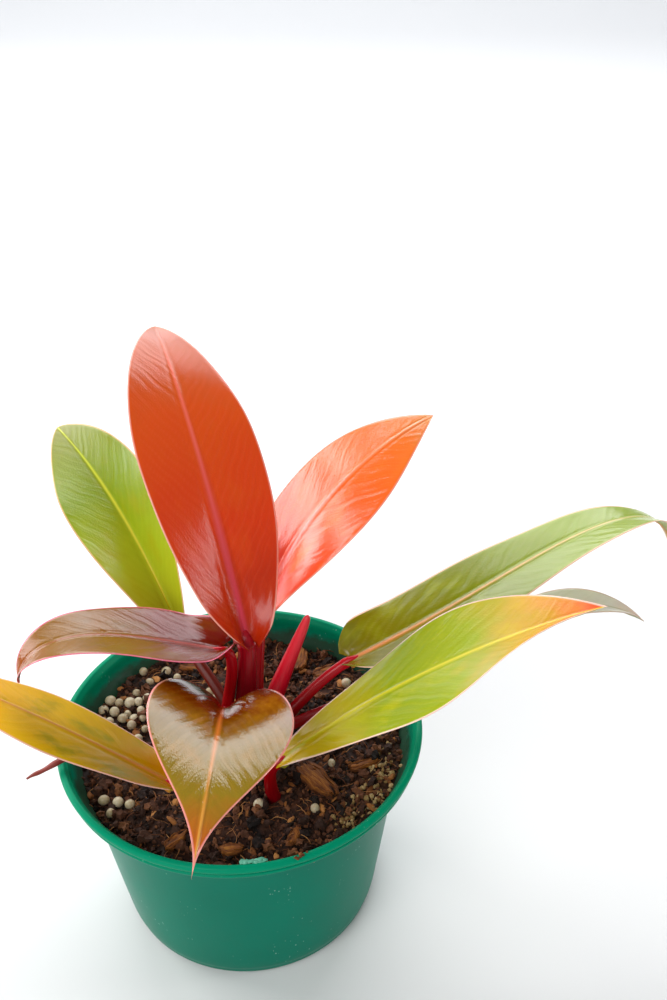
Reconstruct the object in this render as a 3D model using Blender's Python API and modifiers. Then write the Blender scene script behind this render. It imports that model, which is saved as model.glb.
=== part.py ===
"""Potted philodendron: nine leaves on stalks, in a round plastic nursery pot of potting mix."""

import math

import bmesh
import bpy
import numpy as np
from mathutils import Vector

MM = 0.001
GAP = 0.3                       # clearance kept between pieces that touch, mm

# Pot, in mm: a turned plastic moulding with a flat floor.
POT_STEPS = 48
POT_HEIGHT = 99.2
POT_WALL = 1.6
FOOT_RADIUS = 58.0              # outside, at the floor
NECK_RADIUS = 69.8              # outside, where the straight wall ends
NECK_HEIGHT = 82.0
COLLAR_RADIUS = 76.6            # outside, under the lower bead
COLLAR_HEIGHT = 91.0
RIM_RADIUS = 80.0               # outside, at the top bead
# The rim's outline from its inner edge down: how far in from the rim's radius, and down from its top.
RIM_BEADS = ((2.6, 0), (1.2, 0), (0.3, 0.8), (0, 2.2), (0.5, 3.7), (2.0, 4.4), (2.0, 5.0),
             (1.6, 6.0), (2.1, 7.2))
RIM_INNER_STEP = (0.6, 0.9)     # how far the inner wall widens by the top, and where it stops below it
FOOT_ROUNDING = 5.0
DRAIN_HOLES = 8
DRAIN_RADIUS = 4.5
DRAIN_CIRCLE = 43.0             # radius of the circle the drain holes stand on

# Potting mix and the short stem at its middle, in mm.
MIX_LEVEL = 86.0
MIX_HOLLOW = 1.2                # how far the mix falls toward the pot's wall
CROWN_PLACE = (3.0, -2.0)
CROWN_RADIUS = 16.0
CROWN_TOP = 90.0
CROWN_DEPTH = 14.0              # how far the stem reaches below the mix's surface
CROWN_EDGE = 2.5

# Leaves, in mm and degrees. base is where the blade joins its stalk and foot where the stalk starts.
# heading and rise are the midrib's compass angle from +X and its slope, at the base and at the tip;
# bend sets how late the rise changes. belly moves the widest place toward the tip, fullness blunts
# the outline, and shoulder widens the base. roll turns the blade about its midrib at base and tip.
# fold lifts both halves from the midrib at base, middle and tip. lobe is how far the base's ears
# reach back past the stalk. thick is the stalk's radius at its foot and at the blade.
BLADE_THICKNESS = 0.7
BLADE_ROWS = 16
BLADE_COLUMNS = 6
COLUMN_SPREAD = 0.8             # under 1, the columns lie closer toward the margins
EAR_START = 0.4                 # share of each half whose base edge is straight, where the stalk meets it
LEAVES = {
    "tall_bronze": dict(
        base=(5, 6, 141), heading=(110, 100), rise=(67, 0), bend=1.4, length=160, width=55,
        belly=1.05, fullness=0.7, shoulder=0.0, roll=(-7, -11), fold=(30, -8, 6), lobe=3,
        foot=(2, 1, 90), thick=(5.3, 3.4), colour="#B8441C"),
    "back_orange": dict(
        base=(13, 25, 134), heading=(27, 14), rise=(71, 17), bend=1.0, length=123, width=54,
        belly=1.1, fullness=0.89, shoulder=0.0, roll=(9, -12), fold=(31, -18, 2), lobe=5,
        foot=(7.5, 9, 90), thick=(3.3, 2.5), colour="#F0602A"),
    "back_green": dict(
        base=(-23, 32, 126), heading=(115, 120), rise=(43, 5), bend=1.0, length=130, width=50,
        belly=1.05, fullness=0.75, shoulder=0.0, roll=(26, 29), fold=(62, 24, 20), lobe=5,
        foot=(-3, 9, 90), thick=(2.9, 2.0), colour="#84961A"),
    "left_dark_red": dict(
        base=(-5, -1, 142), heading=(186, 193), rise=(25, -94), bend=4.0, length=96, width=44,
        belly=0.6, fullness=0.7, shoulder=0.0, roll=(-12, -3), fold=(18, -6, 20), lobe=3,
        foot=(-7, 3, 90), thick=(2.9, 2.0), colour="#62260F"),
    "front_heart": dict(
        base=(-6, -20, 126), heading=(268, 255), rise=(54, -26), bend=0.8, length=107, width=57,
        belly=0.8, fullness=1.95, shoulder=0.25, roll=(9, 17), fold=(45, -8, -2), lobe=13,
        foot=(-7, -5, 90), thick=(2.9, 2.0), colour="#A08040"),
    "front_left_olive": dict(
        base=(-29, -40, 106.5), heading=(163, 173), rise=(33, 29), bend=1.0, length=127, width=42,
        belly=0.9, fullness=0.8, shoulder=0.06, roll=(-18, -16), fold=(12, -5, -5), lobe=2,
        foot=(-5, -11, 90), thick=(2.8, 1.9), colour="#97921F"),
    "right_long": dict(
        base=(49, 1, 128), heading=(1, 32), rise=(26, -78), bend=3.5, length=187, width=43,
        belly=0.5, fullness=0.75, shoulder=0.0, roll=(1, 7), fold=(13, -4, 16), lobe=3,
        foot=(15, -5, 90), thick=(3.0, 2.0), colour="#8FA32C"),
    "right_broad": dict(
        base=(14.5, -34, 107.5), heading=(-6, -17), rise=(45, 26), bend=1.0, length=154, width=56,
        belly=1.3, fullness=1.1, shoulder=-0.05, roll=(0, 5), fold=(8, -15, 35), lobe=1,
        foot=(11, -33, 85.5), thick=(3.1, 2.0), colour="#9CAA14"),
    "right_hidden": dict(
        base=(84, -2, 120), heading=(-1, -2), rise=(43, -43), bend=1.7, length=105, width=27,
        belly=1.0, fullness=0.8, shoulder=0.06, roll=(16, 9), fold=(-8, 1, 24), lobe=4,
        foot=(7, -13, 90), thick=(2.8, 1.8), colour="#7E8C74"),
}
STALK_POINTS = 9
STALK_BEND = 7.0                # length over which a stalk turns to meet its blade, mm
STALK_STRAIGHT = 1.2            # length of the straight parts at a stalk's foot and at its blade, mm
STALK_LIFT = 0.25               # share of the way over which a stalk leaves its foot upright
STALK_TAPER = 0.8               # under 1, a stalk thins sooner

# The next leaf's sheath and the dry one, in mm: points along the middle, and the radius at each.
NEW_SHEATH = (((11.5, 1, 90.9), 3.2), ((12.5, 1.5, 101), 4.0), ((18, 4, 115), 3.9),
              ((25, 7, 131), 2.8), ((30, 9, 142), 2.0), ((32.5, 10, 148), 1.1))
DRY_SHEATH = (((-38, 4, 88.4), 0.8), ((-48, -1, 89.4), 1.4), ((-58, -6, 91.8), 1.6),
              ((-66, -10, 97), 1.5), ((-72, -13, 101.2), 1.4), ((-79, -16, 101.9), 1.3),
              ((-86, -18, 99.6), 1.0), ((-91, -20, 98.6), 0.5))
SHEATH_POINTS = 12

# Loose pieces lying on the mix, in mm.
PELLET_RADIUS = 2.2
PELLETS = (
    (-62, 29), (-57, 27), (-59, 35), (-47, 38), (-42, 34), (-50, 32), (-40, 28), (-53, 22), (-59, 21),
    (-49, 17), (-54, 13), (-46, 8), (-44, 53), (-33, 51), (-13, 33), (-60, -26), (-54, -28), (-49, -30),
    (5, -38), (28, -43), (51, 31),
)
CHIP_ENDS = (0.8, 0.62)         # how far a chip narrows at each end
CHIP_TOP = 0.75                 # and again toward its top
CHIP_EDGE = 0.2                 # share of the height that is worn from its edges
# place, turn in degrees, and length, width, height
CHIPS = (
    ((31, -29), -60, (22, 11, 5)), ((30, 50), 75, (14, 10, 4)), ((43, 40), 20, (13, 8, 4)),
    ((-20, 52), -15, (14, 5, 3)), ((52, -21), 10, (13, 5, 3)), ((-30, -52), 35, (11, 6, 4)),
    ((-8, -60), -10, (9, 6, 4)), ((18, -56), 60, (8, 5, 3)), ((-35, 20), -60, (10, 4, 3)),
)


def clear_scene():
    for obj in list(bpy.data.objects):
        bpy.data.objects.remove(obj, do_unlink=True)


def new_collection(name):
    collection = bpy.data.collections.new(name)
    bpy.context.scene.collection.children.link(collection)
    return collection


def linear(colour_hex):
    """The linear colour of an sRGB hex code."""
    channels = [int(colour_hex[i:i + 2], 16) / 255 for i in (1, 3, 5)]
    return tuple(c / 12.92 if c <= 0.04045 else ((c + 0.055) / 1.055) ** 2.4 for c in channels) + (1.0,)


def material(name, colour_hex, roughness):
    mat = bpy.data.materials.new(name)
    mat.use_nodes = True
    shader = mat.node_tree.nodes["Principled BSDF"]
    shader.inputs["Base Color"].default_value = linear(colour_hex)
    shader.inputs["Roughness"].default_value = roughness
    shader.inputs["Metallic"].default_value = 0.0
    return mat


def add_object(name, data, collection, mat, place=(0, 0, 0)):
    obj = bpy.data.objects.new(name, data)
    obj.location = Vector(place) * MM
    data.materials.append(mat)
    collection.objects.link(obj)
    return obj


def shade_smooth(mesh, angle=50):
    mesh.shade_smooth()
    mesh.set_sharp_from_angle(angle=math.radians(angle))


def turned(name, profile, collection, mat, place=(0, 0, 0)):
    """A solid of revolution. The profile, in mm, runs down the outer side."""
    mesh = bpy.data.meshes.new(name)
    lines = [(i, i + 1) for i in range(len(profile) - 1)]
    mesh.from_pydata([(r * MM, 0, z * MM) for r, z in profile], lines, [])
    obj = add_object(name, mesh, collection, mat, place)
    screw = obj.modifiers.new("turn", "SCREW")
    screw.steps = screw.render_steps = POT_STEPS
    screw.use_merge_vertices = True
    screw.merge_threshold = 0.00001
    screw.use_smooth_shade = True
    return obj


def cut(target, cutter):
    """Cuts the cutter's shape from the target."""
    cutter.hide_render = True
    cutter.display_type = "WIRE"
    boolean = target.modifiers.new("cut " + cutter.name, "BOOLEAN")
    boolean.operation = "DIFFERENCE"
    boolean.object = cutter


def cylinder(name, radius, bottom, top, centre, collection, mat, segments=24):
    """An upright cylinder, in mm."""
    mesh = bpy.data.meshes.new(name)
    bm = bmesh.new()
    bmesh.ops.create_cone(bm, cap_ends=True, segments=segments, radius1=radius * MM, radius2=radius * MM,
                          depth=(top - bottom) * MM)
    bm.to_mesh(mesh)
    bm.free()
    return add_object(name, mesh, collection, mat, (centre[0], centre[1], (bottom + top) / 2))


def tube(name, route, radii, collection, mat):
    """A round-sectioned solid along a route of points in mm, with a radius at each."""
    curve = bpy.data.curves.new(name, "CURVE")
    curve.dimensions = "3D"
    curve.bevel_depth = MM
    curve.bevel_resolution = 2
    curve.use_fill_caps = True
    spline = curve.splines.new("POLY")
    spline.points.add(len(route) - 1)
    start = Vector(route[0])
    for point, place, radius in zip(spline.points, route, radii):
        point.co = (*((Vector(place) - start) * MM), 1)
        point.radius = radius
    return add_object(name, curve, collection, mat, start)


def smooth_route(places, radii, count):
    """Evenly spaced points on a Catmull-Rom curve through the places, and the radii between them."""
    keys = [Vector(p) for p in places]
    keys = [keys[0] * 2 - keys[1], *keys, keys[-1] * 2 - keys[-2]]
    route, widths = [], []
    for i in range(count):
        along = i / (count - 1) * (len(places) - 1)
        k = min(int(along), len(places) - 2)
        t = along - k
        a, b, c, d = keys[k:k + 4]
        route.append(0.5 * (2 * b + (c - a) * t + (2 * a - 5 * b + 4 * c - d) * t ** 2
                            + (3 * b - a - 3 * c + d) * t ** 3))
        widths.append(radii[k] + (radii[k + 1] - radii[k]) * t)
    return route, widths


def wall_radius(height):
    """The pot's inner radius at a height, in mm."""
    heights = (0, NECK_HEIGHT, COLLAR_HEIGHT, POT_HEIGHT)
    radii = (FOOT_RADIUS, NECK_RADIUS, COLLAR_RADIUS, COLLAR_RADIUS + RIM_INNER_STEP[0])
    return float(np.interp(height, heights, radii)) - POT_WALL


def make_pot(collection, cutters, mat):
    """Turned wall with a double-beaded rim, a flared collar and a flat, drained floor."""
    inner_top = POT_HEIGHT - RIM_INNER_STEP[1]
    inside = [(wall_radius(z), z) for z in (FOOT_ROUNDING, NECK_HEIGHT, COLLAR_HEIGHT, inner_top)]
    rim = [(RIM_RADIUS - inward, POT_HEIGHT - down) for inward, down in RIM_BEADS]
    rim.append((COLLAR_RADIUS, COLLAR_HEIGHT))
    foot = [(FOOT_RADIUS - FOOT_ROUNDING * (1 - math.cos(math.radians(a))),
             FOOT_ROUNDING * (1 - math.sin(math.radians(a)))) for a in (0, 30, 60, 90)]
    profile = [(0, POT_WALL), (wall_radius(0) - FOOT_ROUNDING + POT_WALL, POT_WALL), *inside, *rim,
               (NECK_RADIUS, NECK_HEIGHT), *foot, (0, 0)]
    pot = turned("nursery_pot", profile, collection, mat)
    for i in range(DRAIN_HOLES):
        angle = 2 * math.pi * (i + 0.5) / DRAIN_HOLES
        centre = (DRAIN_CIRCLE * math.cos(angle), DRAIN_CIRCLE * math.sin(angle))
        hole = cylinder(f"cut_drain_{i + 1}", DRAIN_RADIUS, -2, POT_WALL + 2, centre, cutters, mat, 12)
        cut(pot, hole)


def mix_height(radius):
    """The height of the mix's surface at a distance from the pot's middle, in mm."""
    return MIX_LEVEL - MIX_HOLLOW * (radius / NECK_RADIUS) ** 2


def make_mix(collection, cutters, mat):
    """Fills the pot to below its rim, with a pocket for the crown stem."""
    edge = wall_radius(mix_height(NECK_RADIUS)) - GAP
    top = [(r, mix_height(r)) for r in (0, 22, 44, 60, edge)]
    floor = POT_WALL + GAP
    side = [(wall_radius(NECK_HEIGHT) - GAP, NECK_HEIGHT), (wall_radius(FOOT_ROUNDING) - GAP, FOOT_ROUNDING),
            (wall_radius(0) - FOOT_ROUNDING - GAP, floor)]
    mix = turned("potting_mix", [*top, *side, (0, floor)], collection, mat)
    pocket = cylinder("cut_crown_pocket", CROWN_RADIUS + GAP, MIX_LEVEL - CROWN_DEPTH - GAP, CROWN_TOP + 4,
                      CROWN_PLACE, cutters, mat)
    cut(mix, pocket)


def make_crown(collection, mat):
    """Short stem that every stalk but the outermost stands on."""
    crown = cylinder("crown_stem", CROWN_RADIUS, MIX_LEVEL - CROWN_DEPTH, CROWN_TOP - GAP, CROWN_PLACE,
                     collection, mat)
    shade_smooth(crown.data)
    edge = crown.modifiers.new("worn edge", "BEVEL")
    edge.width = CROWN_EDGE * MM
    edge.segments = 2


def lerp(pair, t):
    return pair[0] + (pair[1] - pair[0]) * t


def midrib_direction(leaf, t):
    """The midrib's unit direction at a fraction of its length, in the blade's own frame."""
    heading = math.radians(lerp(leaf["heading"], t) - leaf["heading"][0])
    rise = math.radians(lerp(leaf["rise"], t ** leaf["bend"]))
    return Vector((math.cos(heading) * math.cos(rise), math.sin(heading) * math.cos(rise), math.sin(rise)))


def midrib_points(leaf, steps=160):
    """Points along the midrib from the blade's base, in mm."""
    points = [Vector((0, 0, 0))]
    for i in range(steps):
        points.append(points[-1] + midrib_direction(leaf, (i + 0.5) / steps) * leaf["length"] / steps)
    return points


def half_width(leaf, t):
    """Half the blade's width at a fraction of its length, in mm."""
    if t >= 1:
        return 0.0
    outline = math.sin(math.pi * (0.08 + 0.92 * t ** leaf["belly"])) ** leaf["fullness"]
    return leaf["width"] / 2 * (outline + leaf["shoulder"] * (1 - t) ** 6)


def blade_point(leaf, midrib, t, side):
    """A point of the blade at t along it, from side -1 at the left margin to 1 at the right one."""
    reach = abs(side)
    ear = leaf["lobe"] * max(0.0, (reach - EAR_START) / (1 - EAR_START)) ** 1.2 * (1 - t) ** 4
    along = t - ear / leaf["length"]
    inside = max(along, 0.0)
    place = inside * (len(midrib) - 1)
    k = min(int(place), len(midrib) - 2)
    behind = midrib_direction(leaf, 0) * min(along, 0.0) * leaf["length"]
    centre = midrib[k].lerp(midrib[k + 1], place - k) + behind
    forward = midrib_direction(leaf, inside)
    heading = math.radians(lerp(leaf["heading"], inside) - leaf["heading"][0])
    level = Vector((math.sin(heading), -math.cos(heading), 0))
    up = level.cross(forward)
    roll = math.radians(lerp(leaf["roll"], t))
    across = math.cos(roll) * level + math.sin(roll) * up
    normal = math.cos(roll) * up - math.sin(roll) * level
    low, middle, high = leaf["fold"]
    fold = math.radians((1 - t) ** 2 * low + 2 * t * (1 - t) * middle + t ** 2 * high)
    width = half_width(leaf, t) * reach
    return centre + across * math.copysign(width * math.cos(fold), side) + normal * width * math.sin(fold)


def make_blade(name, leaf, collection):
    """A thin curved leaf blade: a grid shaped along its midrib and thickened."""
    bm = bmesh.new()
    bmesh.ops.create_grid(bm, x_segments=BLADE_ROWS, y_segments=BLADE_COLUMNS, size=1)
    midrib = midrib_points(leaf)
    for vert in bm.verts:
        side = -math.copysign(abs(vert.co.y) ** COLUMN_SPREAD, vert.co.y)
        vert.co = blade_point(leaf, midrib, (vert.co.x + 1) / 2, side) * MM
    bmesh.ops.remove_doubles(bm, verts=bm.verts, dist=0.000001)
    mesh = bpy.data.meshes.new(name)
    bm.to_mesh(mesh)
    bm.free()
    shade_smooth(mesh, 70)
    blade = add_object(name, mesh, collection, material(name, leaf["colour"], 0.3), leaf["base"])
    blade.rotation_euler = (0, 0, math.radians(leaf["heading"][0]))
    solid = blade.modifiers.new("thickness", "SOLIDIFY")
    solid.thickness = BLADE_THICKNESS * MM
    solid.offset = 0
    return blade


def stalk_route(leaf):
    """Points from the stalk's foot, where it stands upright, to the blade's base, in mm."""
    base = Vector(leaf["base"])
    heading = math.radians(leaf["heading"][0])
    rise = math.radians(leaf["rise"][0])
    forward = Vector((math.cos(heading) * math.cos(rise), math.sin(heading) * math.cos(rise), math.sin(rise)))
    foot = Vector(leaf["foot"]) + Vector((0, 0, GAP))
    start = foot + Vector((0, 0, STALK_STRAIGHT))
    tip = base - forward * GAP
    end = tip - forward * STALK_STRAIGHT
    handle_a = start + Vector((0, 0, (end - start).length * STALK_LIFT))
    handle_b = end - forward * STALK_BEND
    route = [foot]
    for i in range(STALK_POINTS):
        t = i / (STALK_POINTS - 1)
        route.append(start * (1 - t) ** 3 + 3 * handle_a * t * (1 - t) ** 2
                     + 3 * handle_b * t ** 2 * (1 - t) + end * t ** 3)
    return [*route, tip]


def make_stalk(name, leaf, collection, mat):
    route = stalk_route(leaf)
    radii = [lerp(leaf["thick"], (i / (len(route) - 1)) ** STALK_TAPER) for i in range(len(route))]
    tube(name, route, radii, collection, mat)


def make_sheath(name, stations, collection, mat):
    places, radii = zip(*stations)
    route, widths = smooth_route(places, radii, SHEATH_POINTS)
    tube(name, route, widths, collection, mat)


def make_pellets(collection, mat):
    mesh = bpy.data.meshes.new("feed_pellet")
    bm = bmesh.new()
    bmesh.ops.create_uvsphere(bm, u_segments=8, v_segments=6, radius=PELLET_RADIUS * MM)
    bm.to_mesh(mesh)
    bm.free()
    mesh.shade_smooth()
    mesh.materials.append(mat)
    for i, (x, y) in enumerate(PELLETS):
        pellet = bpy.data.objects.new(f"feed_pellet_{i + 1:02d}", mesh)
        height = mix_height(math.hypot(x, y)) + PELLET_RADIUS + GAP
        pellet.location = Vector((x, y, height)) * MM
        collection.objects.link(pellet)


def make_chips(collection, mat):
    """Flattened pieces of bark with tapered ends and broken edges."""
    for i, ((x, y), turn, (length, width, height)) in enumerate(CHIPS):
        name = f"bark_chip_{i + 1}"
        bm = bmesh.new()
        bmesh.ops.create_cube(bm, size=1)
        for vert in bm.verts:
            narrow = CHIP_ENDS[vert.co.x > 0] * (CHIP_TOP if vert.co.z > 0 else 1.0)
            vert.co = Vector((vert.co.x * length, vert.co.y * width * narrow, vert.co.z * height)) * MM
        mesh = bpy.data.meshes.new(name)
        bm.to_mesh(mesh)
        bm.free()
        rest = mix_height(math.hypot(x, y)) + height / 2 + GAP
        chip = add_object(name, mesh, collection, mat, (x, y, rest))
        chip.rotation_euler = (0, 0, math.radians(turn))
        edge = chip.modifiers.new("worn edge", "BEVEL")
        edge.width = CHIP_EDGE * height * MM
        edge.segments = 1


def main():
    clear_scene()
    parts = new_collection("potted_philodendron")
    cutters = new_collection("cutters")
    make_pot(parts, cutters, material("green_plastic", "#007A5E", 0.4))
    make_mix(parts, cutters, material("potting_mix", "#2A1D18", 0.95))
    make_crown(parts, material("crown_stem", "#6A1E1C", 0.6))
    stalk_mat = material("crimson_stalk", "#98182A", 0.35)
    for name, leaf in LEAVES.items():
        make_blade(f"leaf_blade_{name}", leaf, parts)
        make_stalk(f"leaf_stalk_{name}", leaf, parts, stalk_mat)
    make_sheath("new_leaf_sheath", NEW_SHEATH, parts, material("red_sheath", "#D0263C", 0.35))
    make_sheath("dry_sheath", DRY_SHEATH, parts, material("dry_sheath", "#7A1C22", 0.6))
    make_pellets(parts, material("feed_pellet", "#C8B89C", 0.5))
    make_chips(parts, material("bark", "#7A4A24", 0.85))


main()
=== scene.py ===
"""Looks of a potted philodendron: glossy leaves on red stalks, in potting mix and a nursery pot."""

import math

import bmesh
import bpy
import numpy as np
from mathutils import Matrix, Vector, noise


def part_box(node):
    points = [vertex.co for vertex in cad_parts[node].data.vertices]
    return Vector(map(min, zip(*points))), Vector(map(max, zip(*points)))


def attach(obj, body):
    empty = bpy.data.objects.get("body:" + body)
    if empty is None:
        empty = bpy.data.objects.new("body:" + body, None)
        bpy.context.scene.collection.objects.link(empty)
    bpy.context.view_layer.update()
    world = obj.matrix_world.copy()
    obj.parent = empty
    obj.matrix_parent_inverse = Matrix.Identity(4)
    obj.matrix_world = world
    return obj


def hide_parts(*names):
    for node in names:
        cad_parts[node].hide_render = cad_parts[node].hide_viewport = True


MM = 0.001

# Camera, in mm and degrees: a standing viewer's look down at the pot.
CAMERA_PLACE = (0, -386, 475)
CAMERA_PITCH = 34.0             # below level
CAMERA_YAW = 6.4                # toward +X
CAMERA_ROLL = -1.2
CAMERA_LENS = 43.2              # for a 36 mm long side

# Pot, in mm.
POT_HEIGHT = 99.2
POT_WALL = 1.6
FOOT_RADIUS = 58.0
NECK_RADIUS = 69.8
NECK_HEIGHT = 82.0
COLLAR_RADIUS = 76.6
COLLAR_HEIGHT = 91.0
RIM_RADIUS = 80.0
RIM_INNER_STEP = 0.6
RIM_BEADS = ((3.2, 1.0), (2.6, 0), (1.2, 0), (0.2, 0.6), (0, 2.0), (0.3, 3.2), (2.0, 3.7), (2.6, 4.1),
             (2.6, 4.5), (1.4, 4.8), (1.1, 5.4), (1.3, 6.6), (2.4, 7.2))  # in from the rim, down from it
SOIL_AND_SHADE_HEIGHTS = (96.5, 86.5)       # heights where the dark smears inside, partly mix and partly painted shade, begin and where they are thickest
PAINTED_RIM_HIGHLIGHT = (88, 97)           # heights between which a painted highlight lightens the plastic towards the rim
FOOT_ROUNDING = 5.0
DRAIN_HOLES = 8
DRAIN_RADIUS = 4.5
DRAIN_CIRCLE = 43.0
BURR_ANGLE = math.radians(-90)  # of the torn lip, from +X
BURR_SPREAD = 0.05              # to each side of it, in radians
RIM_CRUMB_ANGLE = math.radians(-76)

# Potting mix and crown, in mm.
MIX_LEVEL = 86.0
MIX_HOLLOW = 1.2
CROWN_PLACE = (3.0, -2.0)
CROWN_RADIUS = 16.0
CROWN_TOP = 90.2
GAP = 0.3                       # left between pieces that would touch

# Leaves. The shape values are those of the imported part: base and foot in mm, heading and rise of the
# midrib in degrees at base and tip, bend, length, width, belly, fullness, shoulder, roll, fold and lobe.
# cup is how far, in degrees, the lobes beside the stalk curl up. wave is the margin's waviness: height
# in mm, waves along the blade, and phase in turns. tones are the
# upper face's colours from base to tip, rib the midrib's, patch the colour it is clouded with and cloudy
# how strongly, edge the margin's and back the lower face's. gloss is the skin's roughness and shine its
# specular level, and pucker the height in mm to which the skin swells between its veins.
EAR_START = 0.4
LEAVES = {
    "tall_bronze": dict(
        base=(5, 6, 141), heading=(110, 100), rise=(67, 0), bend=1.4, length=160, width=55,
        belly=1.05, fullness=0.7, shoulder=0.0, roll=(-7, -11), fold=(30, -8, 6), lobe=3,
        foot=(2, 1, 90), thick=(5.3, 3.4), cup=42, wave=(0.5, 3, 0.2),
        tones=((0, "#A82408"), (0.3, "#CC3808"), (0.6, "#CC4808"), (0.85, "#BC5018"), (1, "#B05838")),
        rib=("#CC3C50", "#E86C50"), patch="#CC500C", edge="#F0A090", back="#9C4030", cloudy=0.25,
        pucker=0.03, gloss=0.2, shine=0.4),
    "back_orange": dict(
        base=(13, 25, 134), heading=(27, 14), rise=(71, 17), bend=1.0, length=123, width=54,
        belly=1.1, fullness=0.89, shoulder=0.0, roll=(9, -12), fold=(31, -18, 2), lobe=5,
        foot=(7.5, 9, 90), thick=(3.3, 2.5), cup=30, wave=(0.4, 2, 0.0),
        tones=((0, "#F05050"), (0.3, "#F45030"), (0.6, "#FC5C14"), (0.85, "#E06C20"), (1, "#C88850")),
        rib=("#F07078", "#F08858"), patch="#F07818", edge="#F09078", back="#C06048", cloudy=0.35,
        pucker=0.03, gloss=0.1, shine=0.6),
    "back_green": dict(
        base=(-23, 32, 126), heading=(115, 120), rise=(43, 5), bend=1.0, length=130, width=50,
        belly=1.05, fullness=0.75, shoulder=0.0, roll=(26, 29), fold=(62, 24, 20), lobe=5,
        foot=(-3, 9, 90), thick=(2.9, 2.0), cup=10, wave=(0.6, 3, 0.6),
        tones=((0, "#A8A81C"), (0.3, "#98A81C"), (0.6, "#78900C"), (0.85, "#7C8808"), (1, "#7C7C10")),
        rib=("#C8B010", "#C8D040"), patch="#A0980C", edge="#D8B080", back="#A8A860", cloudy=0.45,
        pucker=0.03, gloss=0.24, shine=0.35),
    "left_dark_red": dict(
        base=(-5, -1, 142), heading=(186, 193), rise=(25, -94), bend=4.0, length=96, width=44,
        belly=0.6, fullness=0.7, shoulder=0.0, roll=(-12, -3), fold=(18, -6, 20), lobe=3,
        foot=(-7, 3, 90), thick=(2.9, 2.0), cup=38, wave=(0.5, 2, 0.5),
        tones=((0, "#680804"), (0.25, "#741C04"), (0.5, "#845408"), (0.75, "#885C10"), (1, "#A04418")),
        rib=("#A83020", "#8C4818"), patch="#6C4C08", edge="#DC607C", back="#70302C", cloudy=0.5,
        pucker=0.02, gloss=0.09, shine=0.42),
    "front_heart": dict(
        base=(-6, -20, 126), heading=(268, 255), rise=(54, -26), bend=0.8, length=107, width=57,
        belly=0.8, fullness=1.95, shoulder=0.25, roll=(9, 17), fold=(45, -8, -2), lobe=13,
        foot=(-7, -5, 90), thick=(2.9, 2.0), cup=12, wave=(0.4, 2, 0.3),
        tones=((0, "#5C1400"), (0.25, "#6C2C00"), (0.42, "#785C0C"),
               (0.7, "#88700C"), (0.86, "#B85C10"), (0.93, "#D04828"), (1, "#E04038")),
        rib=("#B84818", "#D09038"), patch="#A8700C", edge="#F0948C", back="#7C4838", cloudy=0.45,
        pucker=0.045, gloss=0.08, shine=0.6),
    "front_left_olive": dict(
        base=(-29, -40, 106.5), heading=(163, 173), rise=(33, 29), bend=1.0, length=127, width=42,
        belly=0.9, fullness=0.8, shoulder=0.06, roll=(-18, -16), fold=(12, -5, -5), lobe=2,
        foot=(-5, -11, 90), thick=(2.8, 1.9), cup=15, wave=(0.5, 2, 0.1),
        tones=((0, "#C87C00"), (0.2, "#C09800"), (0.4, "#DCB010"), (0.6, "#E4AC18"), (1, "#C88C18")),
        rib=("#D08028", "#D08838"), patch="#8C8C10", edge="#F0B8A8", back="#908850", cloudy=0.8,
        pucker=0.04, gloss=0.22, shine=0.15),
    "right_long": dict(
        base=(49, 1, 128), heading=(1, 32), rise=(26, -78), bend=3.5, length=187, width=43,
        belly=0.5, fullness=0.75, shoulder=0.0, roll=(1, 7), fold=(13, -4, 16), lobe=3,
        foot=(15, -5, 90), thick=(3.0, 2.0), cup=30, wave=(0.5, 3, 0.4),
        tones=((0, "#706800"), (0.3, "#707C00"), (0.6, "#84981C"),
               (0.88, "#90A43C"), (0.95, "#A86838"), (1, "#C83828")),
        rib=("#D08040", "#D0C070"), patch="#98A020", edge="#E8B898", back="#98A070", cloudy=0.4,
        pucker=0.045, gloss=0.2, shine=0.5),
    "right_broad": dict(
        base=(14.5, -34, 107.5), heading=(-6, -17), rise=(45, 26), bend=1.0, length=154, width=56,
        belly=1.3, fullness=1.1, shoulder=-0.05, roll=(0, 5), fold=(8, -15, 35), lobe=1,
        foot=(11, -33, 85.5), thick=(3.1, 2.0), cup=8, wave=(1.1, 2, 0.35),
        tones=((0, "#D0AC00"), (0.2, "#A89808"), (0.4, "#7C9004"),
               (0.6, "#8C9C04"), (0.8, "#C09420"), (0.93, "#E07848"), (1, "#E43830")),
        rib=("#B8B010", "#D8C838"), patch="#B8B004", edge="#F0C8B8", back="#A8A868", cloudy=0.4,
        pucker=0.05, gloss=0.2, shine=0.4),
    "right_hidden": dict(
        base=(84, -2, 120), heading=(-1, -2), rise=(43, -43), bend=1.7, length=105, width=27,
        belly=1.0, fullness=0.8, shoulder=0.06, roll=(16, 9), fold=(-8, 1, 24), lobe=4,
        foot=(7, -13, 90), thick=(2.8, 1.8), cup=15, wave=(0.5, 2, 0.0),
        # right_hidden's tones are its green lifted to near-white: a painted sheen over the leaf's own colour.
        tones=((0, "#A0A878"), (0.5, "#C4C8AC"), (0.8, "#D8D4C0"), (0.95, "#DCC0AC"), (1, "#D8A890")),
        rib=("#A89850", "#B0A878"), patch="#788850", edge="#C8A890", back="#889070", cloudy=0.4,
        pucker=0.03, gloss=0.3, shine=0.4),
}
BLADE_ROWS = 170
BLADE_COLUMNS = 52
BLADE_HALF = 0.26               # half a blade's thickness, mm
BASE_ROUNDING = (0.35, 0.06)    # how much the blade narrows at its base, and over what share of it
CUP_SHARE = 0.16                # of the blade over which its base curls up
MIDRIB_HEIGHT = 0.5             # above the upper face, mm
MIDRIB_GROOVE = 0.3             # beside it, mm
VEIN_WIDTH = 0.75               # of a side vein, mm
VEIN_SPACING = 6.5              # between side veins along the midrib, mm
VEIN_SLANT = 1.25               # how far forward a side vein runs for each mm across

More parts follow.
